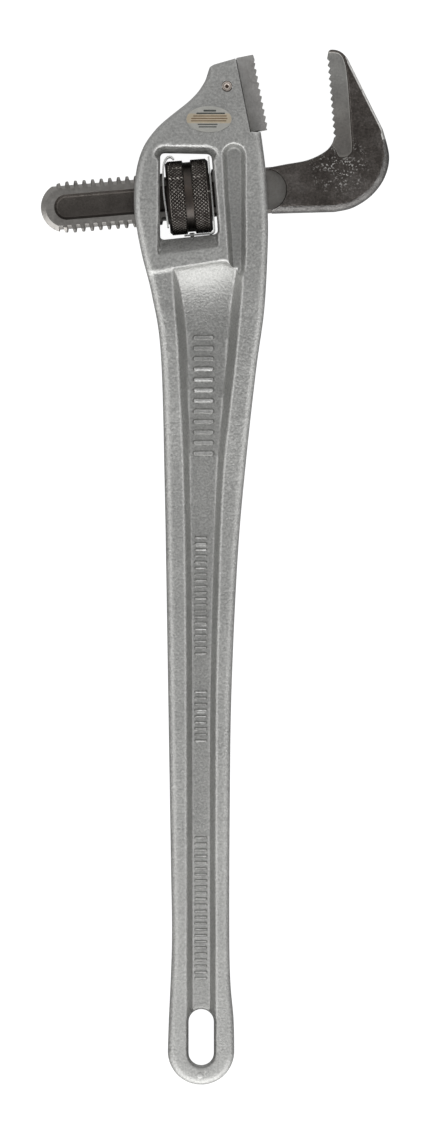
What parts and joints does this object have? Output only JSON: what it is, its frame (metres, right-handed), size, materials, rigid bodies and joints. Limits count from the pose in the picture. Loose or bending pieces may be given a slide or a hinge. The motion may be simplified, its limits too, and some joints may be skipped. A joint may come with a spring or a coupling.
{
  "type": "pipe wrench",
  "caption": "Offset pipe wrench with a cast light-alloy handle, toothed heel and hook jaws, a knurled adjusting nut and leaf and coil springs.",
  "frame": {"origin": "middle of the underside of the whole wrench as it lies on its side", "axes": "+X towards the hook jaw, +Y up the handle from the hanging hole to the jaws, +Z through the thickness"},
  "size_m": [0.2054, 0.61, 0.046],
  "materials": {
    "cast_aluminium": "sand cast and tumbled, satin",
    "jaw_steel": "milled and hardened",
    "dark_forging": "dark oxide on a drop forging",
    "nut_steel": "dark oxide, knurled",
    "spring_steel": "bright strip and wire",
    "copper_pin": "copper-washed pin",
    "foil_label": "printed foil sticker with plain bars"
  },
  "bodies": {
    "handle": {"handle": "cast_aluminium", "heel_jaw": "jaw_steel", "heel_jaw_pin": "copper_pin", "coil_spring": "spring_steel", "oval_label": "foil_label"},
    "carrier": {"flat_spring": "spring_steel", "return_leaf": "spring_steel", "spring_rivet": "spring_steel"},
    "nut": {"adjusting_nut": "nut_steel"},
    "hook": {"hook_jaw": "dark_forging"}
  },
  "joints": [
    {"name": "hook_rock", "type": "hinge", "parent": "handle", "child": "carrier", "pos_m": [-0.0153, 0.21841, 0.023], "axis": [0, 0, 1], "range_deg": [-1.5, 3.5], "stiffness_Nm_per_rad": 6},
    {"name": "nut_spin", "type": "hinge", "parent": "carrier", "child": "nut", "pos_m": [-0.0153, 0.21841, 0.023], "axis": [-0.9965, -0.0837, 0], "range_deg": [-2250.01, 3960.01]},
    {"name": "hook_slide", "type": "slide", "parent": "carrier", "child": "hook", "axis": [0.9965, 0.0837, 0], "range_m": [-0.03175, 0.05588]}
  ],
  "couplings": [
    {"joint": "nut_spin", "follows": "hook_slide", "rad_per_m": 1236.8}
  ]
}
